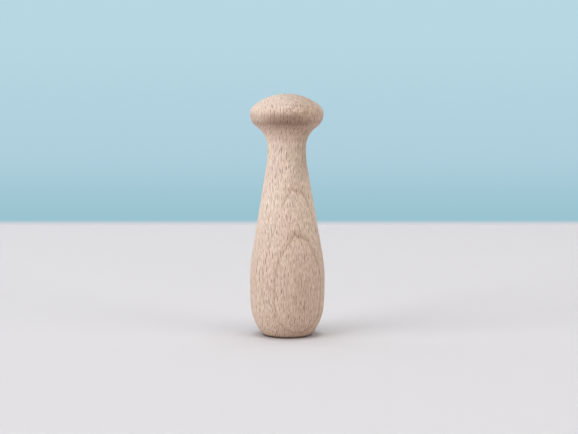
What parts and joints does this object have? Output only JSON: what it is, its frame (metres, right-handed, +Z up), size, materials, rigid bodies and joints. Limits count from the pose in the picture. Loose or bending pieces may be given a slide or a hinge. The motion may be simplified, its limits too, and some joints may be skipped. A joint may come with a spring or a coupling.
{
  "type": "wooden mushroom peg",
  "caption": "Peg turned in one piece from raw beech: domed mushroom cap, hollow cove, slim neck, long taper to a rounded belly and a small flat foot.",
  "frame": {"origin": "centre of the flat foot, on the surface that the peg stands on", "axes": "+Z up the axis of turning, from the foot to the crown of the cap; X and Y lie across it, and -Y faces the viewer of the front"},
  "size_m": [0.0304, 0.0304, 0.0975],
  "materials": {
    "beech": "raw beech, sanded smooth, no oil or varnish"
  },
  "bodies": {
    "root": {"peg": "beech"}
  },
  "joints": []
}
